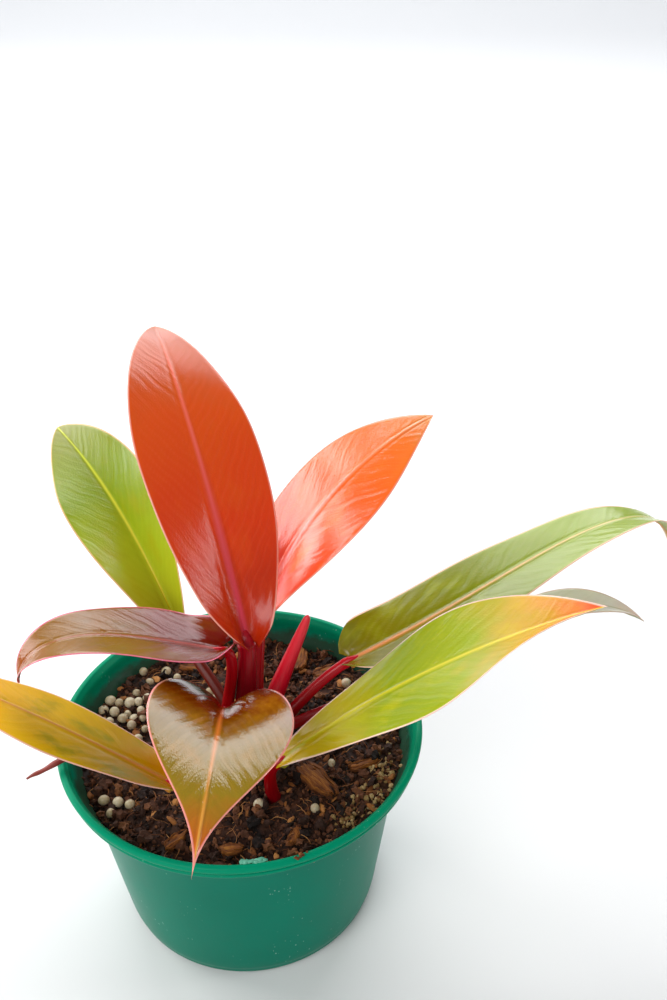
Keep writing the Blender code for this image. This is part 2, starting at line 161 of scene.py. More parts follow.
# Stalks. Each sheath is a row of places on its middle line, in mm, with its half thickness there.
STALK_BEND = 7.0                # mm over which a stalk turns into its blade's direction
STALK_STRAIGHT = 1.2            # mm clear of its foot and of its blade
STALK_LIFT = 0.25               # how far it stands up before it leans, as a share of its reach
STALK_TAPER = 0.8
NEW_SHEATH = (((11.5, 1, 90.9), 3.2), ((12.5, 1.5, 101), 4.0), ((18, 4, 115), 3.9),
              ((25, 7, 131), 2.9), ((30, 9, 142), 2.2), ((32.5, 10, 148), 1.3))
DRY_SHEATH = (((-38, 4, 88.4), 0.8), ((-48, -1, 89.4), 1.4), ((-58, -6, 91.8), 1.6),
              ((-66, -10, 97), 1.5), ((-72, -13, 101.2), 1.4), ((-79, -16, 101.9), 1.3),
              ((-86, -18, 99.6), 1.0), ((-91, -20, 98.6), 0.5))

# place, turn in degrees, and length, width, height of each bark chip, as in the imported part
CHIP_LAYOUT = {f"bark_chip_{i + 1}": values for i, values in enumerate((
    ((31, -29), -60, 22, 11, 5), ((30, 50), 75, 14, 10, 4), ((43, 40), 20, 13, 8, 4),
    ((-20, 52), -15, 14, 5, 3), ((52, -21), 10, 13, 5, 3), ((-30, -52), 35, 11, 6, 4),
    ((-8, -60), -10, 9, 6, 4), ((18, -56), 60, 8, 5, 3), ((-35, 20), -60, 10, 4, 3)))}
SMALL_PELLETS = ((-62, 22), (-55, 33), (-51, 26), (-45, 27), (-57, 17), (-52, 8), (-48, 22), (-43, 14),
                 (-37, 12), (-41, 45), (-28, 46), (-10, 29), (-57, -33), (38, -18), (57, 20), (-44, 21),
                 (-46, 32))

# What is scattered on the mix. Peat: name, count, smallest and largest half size in mm, subdivisions.
RANDOM_SEED = 7
PEAT = (("peat_crumbs", 7000, 0.3, 1.1, 1), ("peat_clods", 900, 0.8, 2.3, 2))
SCATTER_RADIUS = 72.3           # mm, from the axis to the outermost crumb's edge
BARK_BITS = 260
FIBRES = 420
FIBRE_STEPS = 8
GRIT_GRAINS = 130
GRIT_ANGLE = (-0.62, 0.22)      # where the patch of grit lies, from +X, and its spread, in radians
GRIT_RING = (58, 72)            # mm from the axis
RIM_CRUMBS = 14
TORN_FLAPS = 7

# The set. The sweep's profile is y and z in mm, from the front to the top of the backdrop.
SWEEP_PROFILE = ((-9000, 0), (900, 0), (2600, 0), (3000, 400), (3000, 900), (3000, 3500))
SWEEP_HALF_WIDTH = 9000
SKY_STRENGTH = 0.3
# name, place and aim in mm, size in mm, power in watts
LIGHTS = (
    ("sky_behind", (180, 1050, 900), (0, 0, 120), (1500, 600), 13.5, "#FBFCFF"),
    ("window_behind_left", (-1150, 780, 640), (0, 0, 120), (900, 900), 16.0, "#FFFFFF"),
    ("room_front", (-900, -1250, 1300), (0, 0, 110), (1300, 1300), 28.5, "#FFFFFF"),
    ("backdrop_wash", (0, 1300, 1900), (0, 2300, 500), (3000, 500), 46.0, "#F6F9FF"),
    ("door_right", (1300, -180, 480), (0, 0, 100), (220, 500), 3.0, "#FFFFFF"),
)

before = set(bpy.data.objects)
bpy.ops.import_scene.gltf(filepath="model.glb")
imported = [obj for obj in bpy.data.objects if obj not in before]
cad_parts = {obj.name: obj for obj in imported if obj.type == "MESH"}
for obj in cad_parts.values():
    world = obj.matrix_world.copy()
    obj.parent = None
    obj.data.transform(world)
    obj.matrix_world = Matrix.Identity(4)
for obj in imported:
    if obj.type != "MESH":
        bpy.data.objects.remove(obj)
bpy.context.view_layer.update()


def linear(colour_hex):
    """The linear colour of an sRGB hex code."""
    channels = [int(colour_hex[i:i + 2], 16) / 255 for i in (1, 3, 5)]
    return tuple(c / 12.92 if c <= 0.04045 else ((c + 0.055) / 1.055) ** 2.4 for c in channels) + (1.0,)


def lerp(a, b, t):
    return a + (b - a) * t


# ---- materials -------------------------------------------------------------------------------------

BLEND = dict(out=2, data_type="RGBA")
SMOOTH = dict(interpolation_type="SMOOTHSTEP")


def add(tree, kind, inputs=None, stops=None, out=0, **settings):
    """Adds a shader node: its settings, a value or a socket for each named input, and a ramp's stops.
    Gives back the output asked for, or all its outputs where out is None."""
    node = tree.nodes.new("ShaderNode" + kind)
    for key, value in settings.items():
        setattr(node, key, value)
    for key, value in (inputs or {}).items():
        if isinstance(value, bpy.types.NodeSocket):
            tree.links.new(value, node.inputs[key])
        else:
            node.inputs[key].default_value = value
    for i, (place, colour_hex) in enumerate(stops or ()):
        if i < 2:
            stop = node.color_ramp.elements[i]
            stop.position = place
        else:
            stop = node.color_ramp.elements.new(place)
        stop.color = linear(colour_hex)
    return node.outputs if out is None else node.outputs[out]


def layered(tree, colour, *layers):
    """The colour after each layer's tint is laid over it by the layer's amount."""
    for amount, tint in layers:
        colour = add(tree, "Mix", {0: amount, 6: colour, 7: tint}, **BLEND)
    return colour


def new_material(name, **shader_values):
    """A Principled material: (material, node tree, shader)."""
    mat = bpy.data.materials.new(name)
    mat.use_nodes = True
    shader = mat.node_tree.nodes["Principled BSDF"]
    for key, value in shader_values.items():
        shader.inputs[key.replace("_", " ")].default_value = value
    return mat, mat.node_tree, shader


def finish(tree, shader, colour, height=None, strength=0.0, depth_mm=1.0):
    """Joins a colour and, where given, a fine relief to the shader."""
    tree.links.new(colour, shader.inputs["Base Color"])
    if height is not None:
        bump = add(tree, "Bump", {"Height": height, "Strength": strength, "Distance": depth_mm * MM})
        tree.links.new(bump, shader.inputs["Normal"])


def leaf_upper(name, leaf):
    """Upper face of a living leaf: a waxy, water-full cuticle over green and red pigment. It gives the
    eye a wet gloss, a paler midrib with faint side veins, cloudy colour and a thin translucent edge."""
    mat, tree, shader = new_material("leaf_cuticle_" + name, Roughness=leaf["gloss"], IOR=1.45,
                                     Subsurface_Weight=0.12, Subsurface_Scale=0.002,
                                     Subsurface_Radius=(1.0, 0.6, 0.2), Specular_IOR_Level=leaf["shine"])
    along = add(tree, "Attribute", out="Fac", attribute_name="along")
    place = add(tree, "Attribute", out="Vector", attribute_name="place")
    veins = add(tree, "Attribute", out="Vector", attribute_name="veins")
    vein = add(tree, "SeparateXYZ", {0: veins}, out=None)
    spot = add(tree, "SeparateXYZ", {0: place}, out=None)
    patch, rib = linear(leaf["patch"]), linear(leaf["rib"][1])
    cloud = add(tree, "TexNoise", {"Vector": place, "Scale": 0.055, "Detail": 4.0, "Roughness": 0.55})
    shifted = add(tree, "Math", {0: cloud, 1: 0.25, 2: along}, operation="MULTIPLY_ADD")
    tone_place = add(tree, "Math", {0: shifted, 1: 0.125}, operation="SUBTRACT")
    tones = add(tree, "ValToRGB", {0: tone_place}, stops=leaf["tones"])
    clouded = add(tree, "MapRange", {"Value": cloud, "From Min": 0.5, "From Max": 0.75,
                                     "To Max": leaf["cloudy"]}, **SMOOTH)
    side = add(tree, "Math", {0: vein["X"], 1: 0.07}, operation="MULTIPLY")
    by_vein = add(tree, "Mapping", {"Vector": veins, "Scale": (0.0, 1.0, 0.0)})
    fine = add(tree, "TexNoise", {"Vector": by_vein, "Scale": 0.3, "Detail": 3.0})
    fine_amount = add(tree, "MapRange", {"Value": fine, "From Min": 0.4, "From Max": 0.8, "To Max": 0.1})
    rib_colour = add(tree, "ValToRGB", {0: along}, stops=((0.1, leaf["rib"][0]), (0.8, leaf["rib"][1])))
    edge_near = add(tree, "MapRange", {"Value": spot["Z"], "From Min": 0.95, "From Max": 0.25}, **SMOOTH)
    colour = layered(tree, tones, (clouded, patch), (side, rib), (fine_amount, patch),
                     (vein["Z"], rib_colour), (edge_near, linear(leaf["edge"])))
    pores = add(tree, "TexNoise", {"Vector": place, "Scale": 1.1, "Detail": 3.0})
    outward = add(tree, "Math", {0: spot["Y"], 1: 0.12}, operation="MULTIPLY")
    run = add(tree, "CombineXYZ", {"X": vein["Y"], "Y": outward})
    ripple = add(tree, "TexNoise", {"Vector": run, "Scale": 0.22, "Detail": 2.0})
    heights = add(tree, "Math", {0: ripple, 1: 3.0, 2: pores}, operation="MULTIPLY_ADD")
    finish(tree, shader, colour, heights, 0.1)
    return mat


def leaf_lower(name, leaf):
    """Lower face of a leaf: the same skin without the wax, paler and nearly matte, with a raised midrib."""
    mat, tree, shader = new_material("leaf_underside_" + name, Roughness=0.42, IOR=1.42,
                                     Subsurface_Weight=0.12, Subsurface_Scale=0.002)
    place = add(tree, "Attribute", out="Vector", attribute_name="place")
    veins = add(tree, "Attribute", out="Vector", attribute_name="veins")
    vein = add(tree, "SeparateXYZ", {0: veins}, out=None)
    cloud = add(tree, "TexNoise", {"Vector": place, "Scale": 0.08, "Detail": 5.0})
    body = add(tree, "ValToRGB", {0: cloud}, stops=((0.3, leaf["back"]), (0.75, leaf["patch"])))
    lines = add(tree, "Math", {0: vein["X"], 1: 0.35}, operation="MULTIPLY")
    edge_mm = add(tree, "SeparateXYZ", {0: place}, out="Z")
    edge_near = add(tree, "MapRange", {"Value": edge_mm, "From Min": 1.6, "From Max": 0.3}, **SMOOTH)
    finish(tree, shader, layered(tree, body, (lines, linear(leaf["rib"][1])),
                                 (vein["Z"], linear(leaf["rib"][0])), (edge_near, linear(leaf["edge"]))))
    return mat


def fleshy_stalk(name, low_hex, middle_hex, high_hex, gloss):
    """Petiole skin: smooth, full of water, with anthocyanin red under it. It gives the eye a soft gloss
    with faint lengthwise ridges, and a colour that changes from foot to blade."""
    mat, tree, shader = new_material(name, Roughness=gloss, IOR=1.45, Subsurface_Weight=0.1,
                                     Subsurface_Scale=0.0015, Subsurface_Radius=(1.0, 0.3, 0.2),
                                     Specular_IOR_Level=0.35)
    along = add(tree, "Attribute", out="Fac", attribute_name="along")
    place = add(tree, "Attribute", out="Vector", attribute_name="place")
    tone = add(tree, "ValToRGB", {0: along}, stops=((0.0, low_hex), (0.55, middle_hex), (1.0, high_hex)))
    lengthwise = add(tree, "Mapping", {"Vector": place, "Scale": (0.03, 0.9, 0.9)})
    lines = add(tree, "TexNoise", {"Vector": lengthwise, "Scale": 1.0, "Detail": 3.0})
    dark = add(tree, "MapRange", {"Value": lines, "From Min": 0.5, "From Max": 0.8, "To Max": 0.6})
    finish(tree, shader, layered(tree, tone, (dark, linear(low_hex))), lines, 0.25, 0.4)
    return mat


def moulded_plastic():
    """Injection-moulded polypropylene, used outdoors. It gives the eye a satin green that is a little
    waxy, with fine pale scuffs, faint handling marks, a painted highlight that lightens it towards the
    rim, and dark smears on the wall inside that are partly mix and partly painted shade."""
    mat, tree, shader = new_material("green_polypropylene", IOR=1.49, Specular_IOR_Level=0.06,
                                     Subsurface_Weight=0.08, Subsurface_Scale=0.003,
                                     Subsurface_Radius=(0.2, 1.0, 0.6))
    coords = add(tree, "TexCoord", out="Object")
    spot = add(tree, "SeparateXYZ", {0: coords}, out=None)
    cloud = add(tree, "TexNoise", {"Vector": coords, "Scale": 18.0, "Detail": 5.0})
    body = add(tree, "ValToRGB", {0: cloud}, stops=((0.3, "#006A54"), (0.7, "#00775F")))
    # A painted highlight: the green is lightened towards the rim.
    rim_highlight_amount = add(tree, "MapRange", {"Value": spot["Z"], "From Min": PAINTED_RIM_HIGHLIGHT[0] * MM,
                                      "From Max": PAINTED_RIM_HIGHLIGHT[1] * MM}, **SMOOTH)
    squat = add(tree, "Mapping", {"Vector": coords, "Scale": (1, 1, 0.6)})
    grains = add(tree, "TexVoronoi", {"Vector": squat, "Scale": 420.0, "Randomness": 1.0})
    fleck = add(tree, "MapRange", {"Value": grains, "From Min": 0.17, "From Max": 0.08})
    where = add(tree, "TexNoise", {"Vector": coords, "Scale": 45.0, "Detail": 3.0})
    some = add(tree, "MapRange", {"Value": where, "From Min": 0.52, "From Max": 0.66})
    upright = add(tree, "Mapping", {"Vector": coords, "Scale": (1, 1, 0.25)})
    scuff = add(tree, "TexNoise", {"Vector": upright, "Scale": 650.0, "Detail": 2.0})
    scratch = add(tree, "MapRange", {"Value": scuff, "From Min": 0.70, "From Max": 0.78})
    marks = add(tree, "Math", {0: fleck, 1: scratch}, operation="MAXIMUM")
    amount = add(tree, "Math", {0: marks, 1: some}, operation="MULTIPLY")
    shown = add(tree, "Math", {0: amount, 1: 0.55}, operation="MULTIPLY")
    level = add(tree, "CombineXYZ", {"X": spot["X"], "Y": spot["Y"]})
    from_axis = add(tree, "VectorMath", {0: level}, out="Value", operation="LENGTH")
    inner_radius = add(tree, "MapRange", {
        "Value": spot["Z"], "From Min": NECK_HEIGHT * MM, "From Max": COLLAR_HEIGHT * MM,
        "To Min": (NECK_RADIUS - POT_WALL / 2) * MM, "To Max": (COLLAR_RADIUS - POT_WALL / 2) * MM})
    inside = add(tree, "Math", {0: from_axis, 1: inner_radius}, operation="LESS_THAN")
    above_neck = add(tree, "Math", {0: spot["Z"], 1: (NECK_HEIGHT + 1) * MM}, operation="GREATER_THAN")
    inside = add(tree, "Math", {0: inside, 1: above_neck}, operation="MULTIPLY")
    # Dark brown on the wall inside, thickening down towards the mix: partly smeared soil, partly painted
    # shade.
    soil_and_shade_noise = add(tree, "TexNoise", {"Vector": coords, "Scale": 60.0, "Detail": 5.0, "Roughness": 0.7})
    soil_and_shade_near = add(tree, "MapRange", {"Value": spot["Z"], "From Min": SOIL_AND_SHADE_HEIGHTS[0] * MM,
                                       "From Max": SOIL_AND_SHADE_HEIGHTS[1] * MM,
                                       "To Min": -0.35, "To Max": 0.45})
    soil_and_shade = add(tree, "Math", {0: soil_and_shade_noise, 1: soil_and_shade_near}, operation="ADD")
    soil_and_shade = add(tree, "MapRange", {"Value": soil_and_shade, "From Min": 0.5, "From Max": 0.75, "To Max": 0.75})
    soil_and_shade = add(tree, "Math", {0: soil_and_shade, 1: inside}, operation="MULTIPLY")
    # Laid over the body: a painted highlight on the rim, pale scuffs, and dark brown inside that is partly
    # soil and partly painted shade.
    colour = layered(tree, body, (rim_highlight_amount, linear("#008864")), (shown, linear("#A8D8C8")),
                     (soil_and_shade, linear("#2C2A1C")))
    rough = add(tree, "MapRange", {"Value": cloud, "From Min": 0.3, "From Max": 0.7,
                                   "To Min": 0.26, "To Max": 0.38})
    tree.links.new(rough, shader.inputs["Roughness"])
    finish(tree, shader, colour, cloud, 0.15)
    return mat


def crumbly(name, stops, roughness, grain_mm, grain_depth):
    """Peat, coir and bark fragments: rough, dry to damp organic matter. Each piece takes its own shade
    from its tone, and a fine grain breaks up its surface."""
    mat, tree, shader = new_material(name, Roughness=roughness, IOR=1.4, Specular_IOR_Level=0.35)
    coords = add(tree, "TexCoord", out="Object")
    tone = add(tree, "Attribute", out="Fac", attribute_name="tone")
    grain = add(tree, "TexNoise", {"Vector": coords, "Scale": 1000.0 / grain_mm / 3, "Detail": 4.0,
                                   "Roughness": 0.65})
    wide = add(tree, "TexNoise", {"Vector": coords, "Scale": 70.0, "Detail": 3.0})
    mixed = add(tree, "Math", {0: grain, 1: 0.35, 2: tone}, operation="MULTIPLY_ADD")
    mixed = add(tree, "Math", {0: wide, 1: 0.3, 2: mixed}, operation="MULTIPLY_ADD")
    centred = add(tree, "Math", {0: mixed, 1: 0.325}, operation="SUBTRACT")
    finish(tree, shader, add(tree, "ValToRGB", {0: centred}, stops=stops), grain, 0.7, grain_depth)
    return mat


def split_wood():
    """Composted pine bark: dry, fibrous and layered. It gives the eye warm brown streaks along the grain,
    splits and lower sides darkened with painted shade, and pale torn fibres."""
    mat, tree, shader = new_material("pine_bark_split", Roughness=0.72, IOR=1.4, Specular_IOR_Level=0.35)
    place = add(tree, "Attribute", out="Vector", attribute_name="place")
    tone = add(tree, "Attribute", out="Fac", attribute_name="tone")
    stretched = add(tree, "Mapping", {"Vector": place, "Scale": (0.12, 1.3, 1.3)})
    fibres = add(tree, "TexNoise", {"Vector": stretched, "Scale": 1.6, "Detail": 5.0, "Roughness": 0.65})
    mixed = add(tree, "Math", {0: fibres, 1: 0.8, 2: tone}, operation="MULTIPLY_ADD")
    centred = add(tree, "Math", {0: mixed, 1: 0.4}, operation="SUBTRACT")
    shade = add(tree, "ValToRGB", {0: centred}, stops=((0.1, "#140804"), (0.38, "#3C1C08"),
                                                       (0.62, "#744010"), (0.88, "#B07428")))
    finish(tree, shader, shade, fibres, 0.8, 0.5)
    return mat


def waxy_pellet():
    """Resin-coated feed granules: a smooth waxy shell, cream with paler and browner beads among them."""
    mat, tree, shader = new_material("resin_coated_granule", Roughness=0.38, IOR=1.5,
                                     Subsurface_Weight=0.25, Subsurface_Scale=0.002,
                                     Subsurface_Radius=(1.0, 0.8, 0.5))
    tone = add(tree, "Attribute", out="Fac", attribute_name="tone")
    speck = add(tree, "TexNoise", {"Vector": add(tree, "TexCoord", out="Object"), "Scale": 900.0,
                                   "Detail": 3.0})
    mixed = add(tree, "Math", {0: speck, 1: 0.4, 2: tone}, operation="MULTIPLY_ADD")
    shade = add(tree, "ValToRGB", {0: mixed}, stops=((0.2, "#5C4A30"), (0.55, "#9C8C6C"), (1.0, "#C0B498")))
    finish(tree, shader, shade, speck, 0.2, 0.2)
    return mat


# ---- meshes ----------------------------------------------------------------------------------------

def piece(name, points, faces, mats, replaces=(), slot=None, **attributes):
    """A smooth-shaded mesh object that rides on the plant, from points in mm and index lists."""
    mesh = bpy.data.meshes.new(name)
    mesh.from_pydata((np.asarray(points) * MM).tolist(), [], faces)
    for attribute, values in attributes.items():
        values = np.asarray(values, np.float32)
        kind = "FLOAT_VECTOR" if values.ndim == 2 else "FLOAT"
        data = mesh.attributes.new(attribute, kind, "POINT").data
        data.foreach_set("vector" if values.ndim == 2 else "value", values.ravel())
    mesh.validate()
    mesh.shade_smooth()
    for mat in mats:
        mesh.materials.append(mat)
    obj = bpy.data.objects.new(name, mesh)
    bpy.context.scene.collection.objects.link(obj)
    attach(obj, "root")
    if replaces:
        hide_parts(*replaces)
    return obj


def grid_faces(rows, columns, start=0, closed=False, flip=False):
    """Quads of a grid of rows x columns points, numbered row by row from start."""
    wide = columns if closed else columns - 1
    faces = []
    for r in range(rows - 1):
        for c in range(wide):
            a, b = start + r * columns + c, start + r * columns + (c + 1) % columns
            quad = (a, b, b + columns, a + columns)
            faces.append(quad[::-1] if flip else quad)
    return faces


def tube_faces(rows, sides, flip=False):
    """Faces of a closed tube with that many rings, and a cap at each end."""
    caps = [tuple(range(sides))[::-1], tuple(range((rows - 1) * sides, rows * sides))]
    if flip:
        caps = [cap[::-1] for cap in caps]
    return grid_faces(rows, sides, closed=True, flip=flip) + caps


def around(count):
    """Angles evenly spaced round a circle, in radians."""
    return np.linspace(0, 2 * np.pi, count, endpoint=False)


def merge_close(obj, distance=0.0005):
    """Merges points that coincide, such as a tip's, and drops faces with no area."""
    bm = bmesh.new()
    bm.from_mesh(obj.data)
    bmesh.ops.remove_doubles(bm, verts=bm.verts, dist=distance * MM)
    bmesh.ops.dissolve_degenerate(bm, edges=bm.edges, dist=distance * MM)
    bmesh.ops.recalc_face_normals(bm, faces=bm.faces)
    bm.to_mesh(obj.data)
    bm.free()


def unit(vectors):
    return vectors / np.maximum(np.linalg.norm(vectors, axis=-1, keepdims=True), 1e-9)


def midrib_frame(leaf, t):
    """Unit forward, right and up directions of the midrib at fractions of its length."""
    heading = np.radians(lerp(*leaf["heading"], t))
    rise = np.radians(lerp(*leaf["rise"], t ** leaf["bend"]))
    forward = np.stack([np.cos(heading) * np.cos(rise), np.sin(heading) * np.cos(rise), np.sin(rise)], -1)
    right = np.stack([np.sin(heading), -np.cos(heading), np.zeros_like(heading)], -1)
    return forward, right, np.cross(right, forward)


def half_width(leaf, t):
    inner = np.clip(np.sin(np.pi * (0.08 + 0.92 * t ** leaf["belly"])), 0, None) ** leaf["fullness"]
    return leaf["width"] / 2 * (inner + leaf["shoulder"] * (1 - t) ** 6) * (t < 1)


def blade_surface(leaf, t, side):
    """The blade's middle surface in mm, and each point's distance along and across it."""
    steps = np.linspace(0, 1, 401)
    forward, _, _ = midrib_frame(leaf, (steps[:-1] + steps[1:]) / 2)
    midrib = np.vstack([np.zeros(3), np.cumsum(forward, 0) * leaf["length"] / 400]) + np.array(leaf["base"])
    reach = np.abs(side)
    ear = leaf["lobe"] * np.clip((reach - EAR_START) / (1 - EAR_START), 0, None) ** 1.2 * (1 - t) ** 4
    along = t - ear / leaf["length"]
    inside = np.clip(along, 0, 1)
    centre = np.stack([np.interp(inside, steps, midrib[:, k]) for k in range(3)], -1)
    start, _, _ = midrib_frame(leaf, np.zeros(1))
    centre = centre + start[0] * (np.clip(along, None, 0) * leaf["length"])[..., None]
    _, right, up = midrib_frame(leaf, inside)
    roll = np.radians(lerp(*leaf["roll"], t))[..., None]
    across = np.cos(roll) * right + np.sin(roll) * up
    normal = np.cos(roll) * up - np.sin(roll) * right
    low, middle, high = leaf["fold"]
    fold = np.radians((1 - t) ** 2 * low + 2 * t * (1 - t) * middle + t ** 2 * high)
    fold = fold + math.radians(leaf["cup"]) * np.clip(1 - t / CUP_SHARE, 0, 1) ** 2 * reach
    narrowing, share = BASE_ROUNDING
    width = half_width(leaf, t) * reach * (1 - narrowing * np.clip(1 - t / share, 0, 1) ** 2)
    points = (centre + across * (np.copysign(width, side) * np.cos(fold))[..., None]
              + normal * (width * np.sin(fold))[..., None])
    height, count, phase = leaf["wave"]
    turns = 2 * np.pi * (count * t + phase) + 1.3 * np.sign(side)
    ripple = height * reach ** 3 * np.sin(turns) * np.sin(np.pi * t) ** 0.5
    points = points + normal * ripple[..., None]
    return points, along * leaf["length"], np.copysign(width, side)


def make_blade(name, leaf):
    """A leaf blade with its midrib raised, side veins sunk, and a thin edge, closed all round."""
    rows, columns = BLADE_ROWS + 1, BLADE_COLUMNS + 1
    even = np.linspace(0, 1, rows)
    t, side = np.meshgrid(even + 0.02 * np.sin(2 * np.pi * even), np.linspace(-1, 1, columns), indexing="ij")
    side = np.sign(side) * np.abs(side) ** 0.9
    middle, along, across = blade_surface(leaf, t, side)
    normal = unit(np.cross(np.gradient(middle, axis=1), np.gradient(middle, axis=0)))
    normal[-2:] = normal[-3:-2]
    reach = np.abs(across)
    drift = 1.5 * np.sin(along * 0.11 + 2.0 * np.sign(across)) + 0.6 * np.sin(along * 0.37 + reach * 0.2)
    vein_place = along - VEIN_SLANT * reach - 0.012 * reach ** 2 + drift
    vein_place += np.where(across > 0, VEIN_SPACING * 0.45, 0)
    from_vein = np.abs((vein_place / VEIN_SPACING + 0.5) % 1 - 0.5) * VEIN_SPACING
    edge = (half_width(leaf, t) - reach).clip(0)
    vein = np.exp(-(from_vein / VEIN_WIDTH) ** 2) * np.clip(edge / 5, 0, 1) * np.clip(reach / 3, 0, 1)
    stalk = leaf["thick"][1]
    rib_width = lerp(stalk * 0.8, 0.45, t ** 0.6)
    rib = np.exp(-(across / rib_width) ** 2)
    groove = np.exp(-((reach - 2.1 * rib_width) / (0.9 * rib_width)) ** 2)
    fade = np.clip(edge / 1.2, 0.35, 1) * np.clip((1 - t) * 12, 0.1, 1)
    swell = np.sin(2 * np.pi * vein_place / (1.9 * VEIN_SPACING) + 1.1 * np.sin(reach * 0.31)
                   + np.sin(along * 0.071))
    swell *= leaf["pucker"] * np.clip(edge / 4, 0, 1) * np.clip(reach / 4, 0, 1) * np.clip((1 - t) * 5, 0, 1)
    middle = middle + normal * swell[..., None]
    half = BLADE_HALF * fade
    over = half + (MIDRIB_HEIGHT * rib - MIDRIB_GROOVE * groove) * (1 - 0.6 * t) * fade - 0.05 * vein
    under = half + (1.5 * stalk * (1 - t) ** 2 + MIDRIB_HEIGHT) * rib * fade + 0.10 * vein
    upper = middle + normal * over[..., None]
    lower = middle - normal * under[..., None]
    count = rows * columns
    faces = grid_faces(rows, columns, 0) + grid_faces(rows, columns, count, flip=True)
    upper_count = len(faces) // 2
    loop = [c for c in range(columns)] + [r * columns + columns - 1 for r in range(1, rows)]
    loop += [(rows - 1) * columns + c for c in range(columns - 2, -1, -1)]
    loop += [r * columns for r in range(rows - 2, 0, -1)]
    for a, b in zip(loop, loop[1:] + loop[:1]):
        faces.append((b, a, a + count, b + count))
    points = np.concatenate([upper.reshape(-1, 3), lower.reshape(-1, 3)])
    rib_tint = np.exp(-(across / (rib_width * 0.9)) ** 4)
    place = np.stack([along, across, edge], -1).reshape(-1, 3)
    veins = np.stack([vein, vein_place, rib_tint], -1).reshape(-1, 3)
    obj = piece("blade_" + name, points, faces, [leaf_upper(name, leaf), leaf_lower(name, leaf)],
                replaces=["leaf_blade_" + name], slot="blade_" + name, place=np.tile(place, (2, 1)),
                veins=np.tile(veins, (2, 1)), along=np.tile(t.ravel(), 2))
    slots = np.zeros(len(obj.data.polygons), np.int32)
    slots[upper_count:2 * upper_count] = 1
    obj.data.polygons.foreach_set("material_index", slots)
    merge_close(obj)
    return obj


def sweep(route, radii, sides, section=None):
    """Closed solid along a route: points, faces, how far along each point is, and its place on the skin."""
    route, radii = np.asarray(route, float), np.asarray(radii, float)
    tangent = unit(np.gradient(route, axis=0))
    lateral = np.zeros_like(tangent)
    guide = np.array([1.0, 0, 0])
    for i, direction in enumerate(tangent):
        guide = guide - direction * guide.dot(direction)
        guide /= np.linalg.norm(guide)
        lateral[i] = guide
    front = np.cross(tangent, lateral)
    angle = around(sides)
    shape = np.ones(sides) if section is None else section(angle)
    ring = radii[:, None, None] * (lateral[:, None] * (np.cos(angle) * shape)[None, :, None]
                                   + front[:, None] * (np.sin(angle) * shape)[None, :, None])
    points = (route[:, None] + ring).reshape(-1, 3)
    rows = len(route)
    faces = tube_faces(rows, sides)
    length = np.concatenate([[0], np.cumsum(np.linalg.norm(np.diff(route, axis=0), axis=1))])
    along = np.repeat(length / length[-1], sides)
    place = np.stack([np.repeat(length, sides), np.tile(np.cos(angle), rows) * np.repeat(radii, sides),
                      np.tile(np.sin(angle), rows) * np.repeat(radii, sides)], -1)
    return points, faces, along, place


def smooth_route(places, values, count):
    """Evenly spaced points on a Catmull-Rom curve through the places, and the values between them."""
    keys = np.array(places, float)
    keys = np.vstack([2 * keys[0] - keys[1], keys, 2 * keys[-1] - keys[-2]])
    along = np.linspace(0, len(places) - 1, count)
    k = np.minimum(along.astype(int), len(places) - 2)
    t = (along - k)[:, None]
    a, b, c, d = keys[k], keys[k + 1], keys[k + 2], keys[k + 3]
    route = 0.5 * (2 * b + (c - a) * t + (2 * a - 5 * b + 4 * c - d) * t ** 2
                   + (3 * b - a - 3 * c + d) * t ** 3)
    return route, np.interp(along, range(len(values)), values)


def stalk_route(leaf, count=60):
    """Points from the stalk's foot, where it stands upright, to just inside the blade's base."""
    forward, _, _ = midrib_frame(leaf, np.zeros(1))
    base, forward = np.array(leaf["base"], float), forward[0]
    start = np.array(leaf["foot"], float) + (0, 0, GAP + STALK_STRAIGHT)
    end = base - forward * (GAP + STALK_STRAIGHT)
    handle_a = start + (0, 0, np.linalg.norm(end - start) * STALK_LIFT)
    handle_b = end - forward * STALK_BEND
    t = np.linspace(0, 1, count)[:, None]
    curve = (start * (1 - t) ** 3 + 3 * handle_a * t * (1 - t) ** 2
             + 3 * handle_b * t ** 2 * (1 - t) + end * t ** 3)
    inside = [base + forward * step for step in (0, 2.0, 4.5)]
    return np.vstack([start - (0, 0, 3.0), curve, inside])


def make_stalk(name, leaf, mat):
    route = stalk_route(leaf)
    share = np.linspace(0, 1, len(route))
    radii = lerp(*leaf["thick"], share ** STALK_TAPER) * (1 + 0.12 * np.exp(-(share / 0.12) ** 2))
    radii *= 1 + 0.12 * np.exp(-((share - 0.93) / 0.04) ** 2)
    radii[-2:] *= (0.8, 0.45)

    def section(angle):
        return 1 + 0.05 * np.cos(2 * angle) - 0.10 * np.exp(-((angle - 1.5 * np.pi) / 0.35) ** 2)

    points, faces, along, place = sweep(route, radii, 24, section)
    return piece("stalk_" + name, points, faces, [mat], replaces=["leaf_stalk_" + name], slot="crimson_stalk",
                 along=along, place=place)


